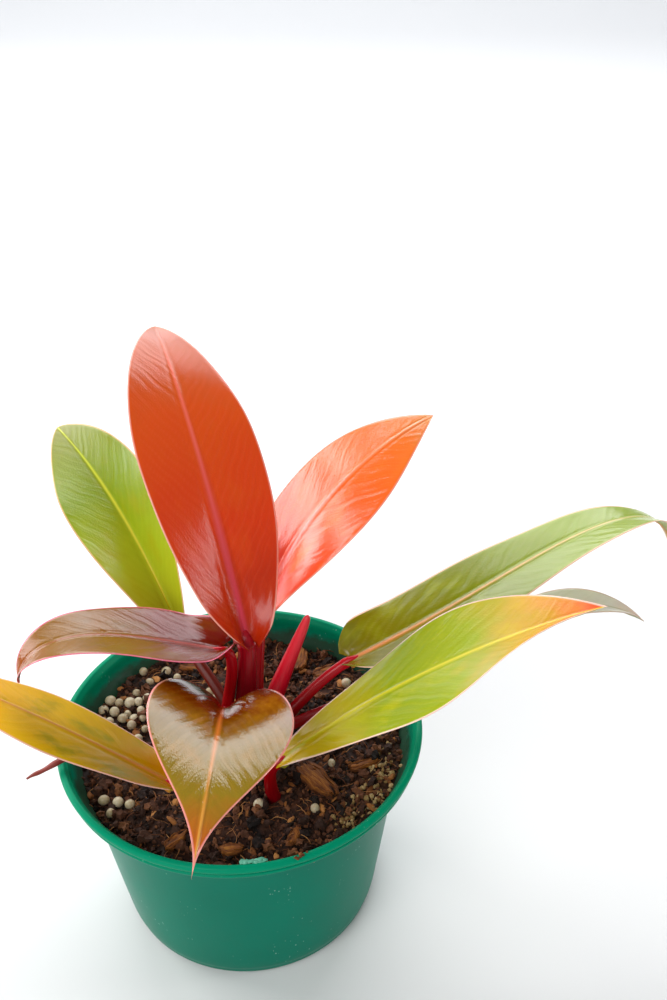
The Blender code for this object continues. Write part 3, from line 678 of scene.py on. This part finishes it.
def make_sheaths(mat_new, mat_dry):
    places, radii = zip(*NEW_SHEATH)
    route, radii = smooth_route(places, radii, 70)
    route[0] -= (0, 0, 3)
    radii[-4:] *= (0.97, 0.88, 0.7, 0.35)

    def flat(angle):
        return 1 - 0.18 * np.sin(angle) ** 2 + 0.06 * np.exp(-((angle - 1.5 * np.pi) / 0.3) ** 2)

    points, faces, along, place = sweep(route, radii, 28, flat)
    piece("spear_sheath", points, faces, [mat_new], replaces=["new_leaf_sheath"], slot="red_sheath",
          along=along, place=place)
    places, radii = zip(*DRY_SHEATH)
    route, radii = smooth_route(places, radii, 90)
    share = np.linspace(0, 1, 90)
    route[:, 2] += 0.3 * np.sin(share * 22)

    def curled(angle):
        return 1 - 0.35 * np.exp(-((angle - 0.5 * np.pi) / 0.5) ** 2)

    points, faces, along, place = sweep(route, radii * (1 + 0.1 * np.sin(share * 37)), 16, curled)
    piece("withered_sheath", points, faces, [mat_dry], replaces=["dry_sheath"], slot="dry_sheath",
          along=along, place=place)


# ---- pot -------------------------------------------------------------------------------------------

def wall_radius(height):
    heights = (0, NECK_HEIGHT, COLLAR_HEIGHT, POT_HEIGHT)
    radii = (FOOT_RADIUS, NECK_RADIUS, COLLAR_RADIUS, COLLAR_RADIUS + RIM_INNER_STEP)
    return np.interp(height, heights, radii) - POT_WALL


def rounded(profile, passes=2):
    """Cuts a profile's corners (Chaikin), keeping its ends."""
    profile = np.array(profile, float)
    for _ in range(passes):
        a, b = profile[:-1], profile[1:]
        cut = np.stack([0.75 * a + 0.25 * b, 0.25 * a + 0.75 * b], 1).reshape(-1, 2)
        profile = np.vstack([profile[0], cut[1:-1], profile[-1]])
    return profile


def make_pot(mat):
    """A thin turned moulding with a double-beaded rim, slightly out of round, with a torn burr at its lip."""
    top = POT_HEIGHT
    inside = [(wall_radius(z), z) for z in (FOOT_ROUNDING, 20, 40, 60, NECK_HEIGHT, COLLAR_HEIGHT, top - 3)]
    rim = [(RIM_RADIUS - inward, top - down) for inward, down in RIM_BEADS]
    collar = [(COLLAR_RADIUS, COLLAR_HEIGHT), (COLLAR_RADIUS - 2.6, 87.5), (NECK_RADIUS + 0.8, 83.6),
              (NECK_RADIUS, 80.5)]
    outside = [(lerp(FOOT_RADIUS, NECK_RADIUS, z / NECK_HEIGHT), z) for z in (60, 40, 20, 8)]
    foot = [(FOOT_RADIUS - FOOT_ROUNDING * (1 - math.cos(a)), FOOT_ROUNDING * (1 - math.sin(a)))
            for a in np.radians((0, 22, 45, 67, 90))]
    base = [(52.0, 0.0), (51.0, 0.7), (30.0, 0.7), (0.2, 0.7)]
    bottom = [(0.2, POT_WALL), (wall_radius(0) - FOOT_ROUNDING + POT_WALL, POT_WALL)]
    profile = rounded([*bottom, *inside, *rim, *collar, *outside, *foot, *base])
    sides = 256
    angle = around(sides)
    radius = np.repeat(profile[:, :1], sides, 1)
    height = np.repeat(profile[:, 1:], sides, 1)
    high = np.clip(height / POT_HEIGHT, 0, 1) ** 3
    inner = radius < RIM_RADIUS - 2.2
    burr = np.exp(-((angle - BURR_ANGLE) / 0.07) ** 2) * (0.6 + 0.4 * np.sin(angle * 90))
    lip = np.exp(-((height - POT_HEIGHT) / 1.6) ** 2)
    radius = radius * (1 + 0.002 * high * np.cos(2 * angle + 0.7)) - 0.12 * high
    radius -= inner * lip * burr[None] * 2.4
    height = height + lip * (0.25 * np.sin(3 * angle + 1)[None] - 0.25) - burr[None] * lip * 0.3
    points = np.stack([radius * np.cos(angle), radius * np.sin(angle), height], -1).reshape(-1, 3)
    rows = len(profile)
    faces = tube_faces(rows, sides)
    pot = piece("nursery_pot_moulding", points, faces, [mat], replaces=["nursery_pot"], slot="green_plastic")
    bm = bmesh.new()
    bm.from_mesh(pot.data)
    bmesh.ops.recalc_face_normals(bm, faces=bm.faces)
    bm.to_mesh(pot.data)
    bm.free()
    drill = bpy.data.meshes.new("drain_drill")
    bm = bmesh.new()
    for i in range(DRAIN_HOLES):
        turn = 2 * math.pi * (i + 0.5) / DRAIN_HOLES
        centre = Vector((DRAIN_CIRCLE * math.cos(turn), DRAIN_CIRCLE * math.sin(turn), 1)) * MM
        bmesh.ops.create_cone(bm, cap_ends=True, segments=32, radius1=DRAIN_RADIUS * MM,
                              radius2=DRAIN_RADIUS * MM, depth=8 * MM, matrix=Matrix.Translation(centre))
    bm.to_mesh(drill)
    bm.free()
    cutter = bpy.data.objects.new("drain_drill", drill)
    bpy.context.scene.collection.objects.link(cutter)
    holes = pot.modifiers.new("drain holes", "BOOLEAN")
    holes.object = cutter
    holes.solver = "EXACT"
    graph = bpy.context.evaluated_depsgraph_get()
    cut = bpy.data.meshes.new_from_object(pot.evaluated_get(graph))
    pot.modifiers.clear()
    pot.data = cut
    cut.set_sharp_from_angle(angle=math.radians(60))
    bpy.data.objects.remove(cutter)
    return pot


def make_torn_lip(rng, mat):
    """Moulding flash torn back over the lip's inner edge: a few ragged whitened flaps."""
    points, faces = [], []
    for turn in np.linspace(-BURR_SPREAD, BURR_SPREAD, TORN_FLAPS):
        angle = BURR_ANGLE + turn
        radius = RIM_RADIUS - 3.4 - rng.uniform(0.2, 1.1)
        across, up = np.array((-math.sin(angle), math.cos(angle), 0)), np.array((0, 0, 1.0))
        outward = np.array((math.cos(angle), math.sin(angle), 0))
        heart = outward * radius + up * (POT_HEIGHT - 0.5)
        shape, shape_faces = ball(2)
        rough = 1 + 0.3 * rng.standard_normal(len(shape))[:, None]
        half = np.array((rng.uniform(1.0, 1.9), rng.uniform(0.8, 1.4), rng.uniform(0.35, 0.7)))
        flap = shape * rough * half
        faces += (shape_faces + len(points)).tolist()
        points += (heart + flap[:, :1] * across + flap[:, 1:2] * outward + flap[:, 2:] * up).tolist()
    return piece("torn_lip", points, faces, [mat], slot="green_plastic")


def make_rim_crumb(rng, mat):
    """A pinch of mix left on top of the rim at the front."""
    shape, shape_faces = ball(2)
    points, faces = [], []
    for _ in range(RIM_CRUMBS):
        angle = RIM_CRUMB_ANGLE + rng.normal(0, 0.014)
        radius = RIM_RADIUS - 1.9 + rng.normal(0, 0.7)
        heart = (radius * math.cos(angle), radius * math.sin(angle), POT_HEIGHT + rng.uniform(-0.1, 0.5))
        faces += (shape_faces + len(points)).tolist()
        rough = 1 + 0.25 * rng.standard_normal(len(shape))[:, None]
        points += (shape * rough * rng.uniform(0.3, 0.8, 3) + heart).tolist()
    tone = np.repeat(rng.uniform(0.3, 0.9, RIM_CRUMBS), len(shape))
    return piece("rim_crumb", points, faces, [mat], slot="potting_mix", tone=tone)


# ---- potting mix and what lies on it ---------------------------------------------------------------

def mix_height(x, y):
    """Height of the mix's lumpy surface, in mm, below the crumbs that lie on it."""
    r = math.hypot(x, y)
    level = MIX_LEVEL - MIX_HOLLOW * (r / NECK_RADIUS) ** 2
    lumps = 1.6 * noise.noise((x * 0.06, y * 0.06, 3.1)) + 1.4 * noise.noise((x * 0.16, y * 0.16, 7.7))
    grains = 1.1 * abs(noise.noise((x * 0.42, y * 0.42, 1.3)))
    grains += 0.9 * abs(noise.noise((x * 0.9, y * 0.9, 5.9)))
    return level + lumps + grains


def make_mix(mat):
    """The body of the mix, closed, with a crumbly top."""
    sides, rings = 300, 96
    angle = around(sides)
    edge = float(wall_radius(MIX_LEVEL)) - 0.3
    points = []
    for ring in range(rings):
        r = 0.3 + (edge - 0.3) * (ring / (rings - 1)) ** 0.8
        circle = [(r * math.cos(a), r * math.sin(a)) for a in angle]
        points += [(x, y, mix_height(x, y)) for x, y in circle]
    for z in (80.0, 40.0, FOOT_ROUNDING, 1.9):
        r = float(wall_radius(z)) - GAP - (FOOT_ROUNDING if z < FOOT_ROUNDING else 0)
        points += [(r * math.cos(a), r * math.sin(a), z) for a in angle]
    rows = rings + 4
    faces = tube_faces(rows, sides, flip=True)
    points = np.array(points)
    tone = [0.28 + 0.5 * noise.noise((x * 0.2, y * 0.2, 9.0)) for x, y, _ in points]
    obj = piece("peat_mix", points, faces, [mat], replaces=["potting_mix"], slot="potting_mix", tone=tone)
    merge_close(obj)
    return obj


def make_crown(mat):
    """The short stem the stalks stand on: a low knob ringed with old leaf scars."""
    sides, rings = 72, 30
    angle = around(sides)
    points, tones = [], []
    for ring in range(rings):
        share = ring / (rings - 1)
        for a in angle:
            bumps = 1 + 0.10 * noise.noise((math.cos(a) * 2, math.sin(a) * 2, share * 3))
            r = (CROWN_RADIUS - 2) * share ** 0.7 * bumps + 0.05
            fall = 9.0 * share ** 3.5
            scar = 0.35 * math.sin(r * 1.6 + 2 * noise.noise((math.cos(a), math.sin(a), 4)))
            points.append((CROWN_PLACE[0] + r * math.cos(a), CROWN_PLACE[1] + r * math.sin(a),
                           CROWN_TOP + scar - fall))
            tones.append(0.3 + 0.5 * noise.noise((r * 0.3, a, 2)))
    faces = tube_faces(rings, sides, flip=True)
    return piece("crown_knob", points, faces, [mat], replaces=["crown_stem"], slot="crown_stem", tone=tones)


def ball(subdivisions):
    """Points and faces of an icosphere of radius 1."""
    bm = bmesh.new()
    bmesh.ops.create_icosphere(bm, subdivisions=subdivisions, radius=1)
    points = np.array([v.co for v in bm.verts])
    faces = np.array([[v.index for v in f.verts] for f in bm.faces])
    bm.free()
    return points, faces


def random_turns(rng, count, tilt=np.pi):
    """Rotation matrices: any turn about Z, after a tilt of up to that angle."""
    spin = rng.uniform(0, 2 * np.pi, count)
    lean = rng.uniform(-tilt, tilt, count)
    way = rng.uniform(0, 2 * np.pi, count)
    return np.array([np.array(Matrix.Rotation(c, 3, "Z") @ Matrix.Rotation(b, 3, "X")
                              @ Matrix.Rotation(a, 3, "Z")) for a, b, c in zip(spin, lean, way)])


def scattered(rng, count, inner, outer):
    """Places on the mix, in mm, evenly over a ring."""
    r = np.sqrt(rng.uniform(inner ** 2, outer ** 2, count))
    a = rng.uniform(0, 2 * np.pi, count)
    return np.stack([r * np.cos(a), r * np.sin(a)], -1)


def lay_pieces(name, rng, places, sizes, rough, mat, slot, sink=0.3, tilt=np.pi, tones=(0.0, 1.0), detail=2):
    """Irregular lumps resting on the mix. sizes holds each one's three half lengths in mm, and rough
    breaks up the outline."""
    shape, faces = ball(detail)
    count = len(places)
    dents = 1 + rough * rng.standard_normal((count, len(shape)))[..., None]
    folds = 2.5 * rng.standard_normal((count, 3))
    dents *= 1 + 0.8 * rough * np.sin(shape @ folds.T).T[..., None]
    turned = np.einsum("nij,nkj->nki", random_turns(rng, count, tilt), shape[None] * dents * sizes[:, None])
    heights = np.array([mix_height(x, y) for x, y in places])
    lowest = turned[..., 2].min(1)
    centre = np.column_stack([places, heights - lowest * (1 - sink)])
    points = (turned + centre[:, None]).reshape(-1, 3)
    all_faces = (faces[None] + (np.arange(count) * len(shape))[:, None, None]).reshape(-1, 3)
    tone = np.repeat(rng.uniform(*tones, count), len(shape))
    obj = piece(name, points, all_faces.tolist(), [mat], slot=slot, tone=tone)
    obj.data.shade_flat()
    return obj


def lay_fibres(rng, count, mat):
    """Coir and root fibres: fine curved threads lying over the crumbs."""
    points, faces, tones = [], [], []
    for x, y in scattered(rng, count, 8, 72):
        length, way, turn = rng.uniform(3, 13), rng.uniform(0, 2 * np.pi), rng.uniform(-0.25, 0.25)
        lift, thick = rng.uniform(0.1, 1.4), rng.uniform(0.08, 0.22)
        steps = np.linspace(0, 1, FIBRE_STEPS)
        heading = way + np.cumsum(np.full(FIBRE_STEPS, turn)) + 0.15 * rng.standard_normal(FIBRE_STEPS)
        xs = x + np.cumsum(np.cos(heading)) * length / FIBRE_STEPS
        ys = y + np.cumsum(np.sin(heading)) * length / FIBRE_STEPS
        if np.hypot(xs, ys).max() > 73:
            continue
        base = np.array([mix_height(a, b) for a, b in zip(xs, ys)]).max()
        zs = base + 0.4 + lift * np.sin(np.pi * steps) + rng.uniform(0, 1.0) * steps
        radii = thick * (1 - 0.6 * np.abs(2 * steps - 1) ** 3)
        tube_points, tube_faces, _, _ = sweep(np.stack([xs, ys, zs], -1), radii, 4)
        faces += [tuple(i + len(points) for i in f) for f in tube_faces]
        points += tube_points.tolist()
        tones += [rng.uniform(0.2, 1)] * len(tube_points)
    return piece("coir_fibres", points, faces, [mat], slot="potting_mix", tone=tones)


def make_bark(rng, mat):
    """Each bark chip: a split slab with lengthwise ridges, a deep split and broken ends."""
    for node, (place, turn, length, width, height) in CHIP_LAYOUT.items():
        low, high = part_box(node)
        seed = rng.uniform(0, 50)
        rows, sides = 90, 64
        points, tones = [], []
        for i in range(rows + 1):
            s = 2 * i / rows - 1
            for a in around(sides):
                across = math.copysign(abs(math.cos(a)) ** 0.45, math.cos(a))
                up = math.copysign(abs(math.sin(a)) ** 0.45, math.sin(a))
                side_noise = noise.noise((s * 2.2, seed, across > 0))
                wide = (1 - abs(s) ** 5 * 0.55) * (0.9 - 0.14 * s) + 0.22 * side_noise
                tear = 1 + 0.3 * noise.noise((across * 3.0, seed, s > 0))
                tear += 0.1 * noise.noise((across * 12, up * 2, seed))
                end = 1 - max(0.0, abs(s) - 0.96) / 0.04 * 0.5
                fibre = noise.noise((s * 1.2, across * 7 + seed, 0.3)) * 0.22
                fibre += noise.noise((s * 2, across * 19, seed)) * 0.12
                split_at = 0.3 + 0.2 * math.sin(1.3 * s + seed)
                split = math.exp(-((across - split_at) / 0.06) ** 2) * (up > 0) * min(1, 2.2 * (s + 0.9))
                step = 0.22 * (across > 0.45 + 0.1 * math.sin(3 * s)) * (up > 0)
                z = up * (0.8 + 1.2 * fibre - 0.45 * split - step) * end + 0.25 * s
                points.append((s * tear * length / 2, across * wide * width / 2, z * height / 2))
                # The tone darkens in the split and on the chip's lower sides and underside, a painted shade,
                # and a little on the lower step.
                tones.append(0.58 + 0.9 * fibre - 0.55 * split - 0.2 * step - 0.15 * (up < 0.2))
        place_on_chip = np.array(points)
        turned = place_on_chip @ np.array(Matrix.Rotation(math.radians(turn), 3, "Z")).T
        turned += (place[0], place[1], (low.z + high.z) / 2 / MM + 0.4)
        faces = tube_faces(rows + 1, sides, flip=True)
        obj = piece(node.replace("chip", "slab"), turned, faces, [mat], replaces=[node], slot="bark",
                    tone=tones, place=place_on_chip + (seed, 0, 0))
        merge_close(obj, 0.01)
        obj.data.set_sharp_from_angle(angle=math.radians(45))


def make_pellets(rng, mat):
    """Feed granules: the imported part's, finer, and a few smaller ones half sunk among them."""
    nodes = sorted(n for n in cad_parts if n.startswith("feed_pellet"))
    places, sizes = [], []
    for node in nodes:
        low, high = (np.array(v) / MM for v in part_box(node))
        places.append((low + high) / 2)
        sizes.append(rng.uniform(2.0, 2.5))
    for x, y in SMALL_PELLETS:
        radius = rng.uniform(1.7, 2.3)
        places.append(np.array((x, y, mix_height(x, y) + radius * rng.uniform(0.4, 1.1))))
        sizes.append(radius)
    shape, faces = ball(3)
    points, all_faces, tones = [], [], []
    for place, radius in zip(places, sizes):
        squash = rng.uniform(0.9, 1.06, 3)
        dents = np.array([1 + 0.05 * noise.noise(Vector(p * 1.4) + Vector(place)) for p in shape])[:, None]
        all_faces += (faces + len(points)).tolist()
        points += (shape * dents * squash * radius + place).tolist()
        tones += [rng.uniform(0.3, 0.8)] * len(shape)
    return piece("feed_granules", points, all_faces, [mat], replaces=nodes, slot="feed_pellet", tone=tones)


# ---- the set ---------------------------------------------------------------------------------------

def softbox(name, place, aim, size, power, colour_hex="#FFFFFF"):
    """A rectangular studio light, in mm, facing a point."""
    light = bpy.data.lights.new(name, "AREA")
    light.shape = "RECTANGLE"
    light.size, light.size_y = size[0] * MM, size[1] * MM
    light.energy = power
    light.color = linear(colour_hex)[:3]
    obj = bpy.data.objects.new(name, light)
    obj.location = Vector(place) * MM
    obj.rotation_euler = (Vector(aim) - Vector(place)).to_track_quat("-Z", "Y").to_euler()
    obj.visible_camera = False
    bpy.context.scene.collection.objects.link(obj)


def make_set():
    """Pale sweep, soft lights and the camera."""
    profile = rounded(SWEEP_PROFILE, 3)
    points = np.array([(x, y, z) for y, z in profile for x in (-SWEEP_HALF_WIDTH, SWEEP_HALF_WIDTH)])
    mesh = bpy.data.meshes.new("pale_sweep")
    mesh.from_pydata((points * MM).tolist(), [], grid_faces(len(profile), 2, 0, flip=True))
    mesh.shade_smooth()
    mat, _, _ = new_material("painted_board", Roughness=0.7, Base_Color=linear("#DCDCDB"))
    mesh.materials.append(mat)
    sweep_obj = bpy.data.objects.new("pale_sweep", mesh)
    bpy.context.scene.collection.objects.link(sweep_obj)
    world = bpy.data.worlds.new("studio")
    world.use_nodes = True
    sky = world.node_tree.nodes["Background"].inputs
    sky["Color"].default_value = linear("#F4F7FF")
    sky["Strength"].default_value = SKY_STRENGTH
    bpy.context.scene.world = world
    for values in LIGHTS:
        softbox(*values)
    camera = bpy.data.objects.new("camera", bpy.data.cameras.new("camera"))
    camera.data.lens = CAMERA_LENS
    camera.data.sensor_width = 36.0
    camera.data.clip_start = 0.01
    camera.matrix_world = (Matrix.Translation(Vector(CAMERA_PLACE) * MM)
                           @ Matrix.Rotation(math.radians(-CAMERA_YAW), 4, "Z")
                           @ Matrix.Rotation(math.radians(90 - CAMERA_PITCH), 4, "X")
                           @ Matrix.Rotation(math.radians(CAMERA_ROLL), 4, "Z"))
    bpy.context.scene.collection.objects.link(camera)
    bpy.context.scene.camera = camera
    bpy.context.scene.view_settings.view_transform = "Standard"


def main():
    rng = np.random.default_rng(RANDOM_SEED)
    make_set()
    make_pot(moulded_plastic())
    whitened, _, _ = new_material("whitened_polypropylene", Roughness=0.45, IOR=1.49,
                                  Base_Color=linear("#58A88C"))
    make_torn_lip(rng, whitened)
    peat = crumbly("damp_peat", ((0.0, "#100805"), (0.35, "#341C10"), (0.65, "#583420"),
                                 (1.0, "#8C5A34")), 0.75, 0.6, 0.5)
    bark = crumbly("split_bark", ((0.0, "#2C1408"), (0.4, "#6A3C18"), (0.7, "#8C5828"),
                                  (1.0, "#B07840")), 0.7, 0.5, 0.3)
    coir = crumbly("coir_fibre", ((0.0, "#2C140A"), (0.5, "#6A3818"), (1.0, "#B07C48")), 0.75, 0.4, 0.1)
    grit = crumbly("quartz_grit", ((0.0, "#54401F"), (0.5, "#886C40"), (1.0, "#AC9468")), 0.5, 0.5, 0.1)
    make_mix(peat)
    make_rim_crumb(rng, coir)
    make_crown(crumbly("scarred_stem", ((0.0, "#1C0806"), (0.5, "#4C1410"), (1.0, "#7C3020")), 0.5, 0.8, 0.4))
    for name, count, small, large, detail in PEAT:
        places = scattered(rng, count, 0, SCATTER_RADIUS - large)
        sizes = (small + (large - small) * rng.uniform(0, 1, count) ** 2.5)[:, None]
        lay_pieces(name, rng, places, sizes * rng.uniform(0.7, 1.3, (count, 3)), 0.24, peat, "potting_mix",
                   sink=0.4, tones=(0.0, 0.8), detail=detail)
    bit_places = scattered(rng, BARK_BITS, 15, 71.0)
    bit_sizes = rng.uniform(0.8, 2.6, (BARK_BITS, 1)) * np.array([1.0, 0.5, 0.28])
    bit_sizes = bit_sizes * rng.uniform(0.8, 1.4, (BARK_BITS, 3))
    lay_pieces("bark_bits", rng, bit_places, bit_sizes, 0.10, bark, "bark", tilt=0.6, tones=(0.1, 1.0))
    grit_angle = rng.normal(*GRIT_ANGLE, GRIT_GRAINS)
    grit_radius = rng.uniform(*GRIT_RING, GRIT_GRAINS)
    grit_places = np.stack([grit_radius * np.cos(grit_angle), grit_radius * np.sin(grit_angle)], -1)
    grit_sizes = rng.uniform(0.6, 1.4, (GRIT_GRAINS, 3))
    lay_pieces("sand_grit", rng, grit_places, grit_sizes, 0.12, grit, "potting_mix", sink=0.1,
               tones=(0.2, 1.0), detail=1)
    lay_fibres(rng, FIBRES, coir)
    make_bark(rng, split_wood())
    make_pellets(rng, waxy_pellet())
    stalk_mats = {
        "tall_bronze": fleshy_stalk("petiole_dark", "#4C0008", "#6C000C", "#B00C20", 0.22),
        "back_orange": fleshy_stalk("petiole_bright", "#7C0008", "#AC0414", "#D01828", 0.22),
        "back_green": fleshy_stalk("petiole_brown", "#40100A", "#6C1C0C", "#702808", 0.35),
    }
    crimson = fleshy_stalk("petiole_crimson", "#580008", "#98040C", "#C00C20", 0.22)
    for name, leaf in LEAVES.items():
        make_blade(name, leaf)
        make_stalk(name, leaf, stalk_mats.get(name, crimson))
    make_sheaths(fleshy_stalk("sheath_pink", "#880010", "#C80C24", "#DC3440", 0.28),
                 fleshy_stalk("sheath_withered", "#3C0C0C", "#6C1018", "#8C3C30", 0.5))


main()
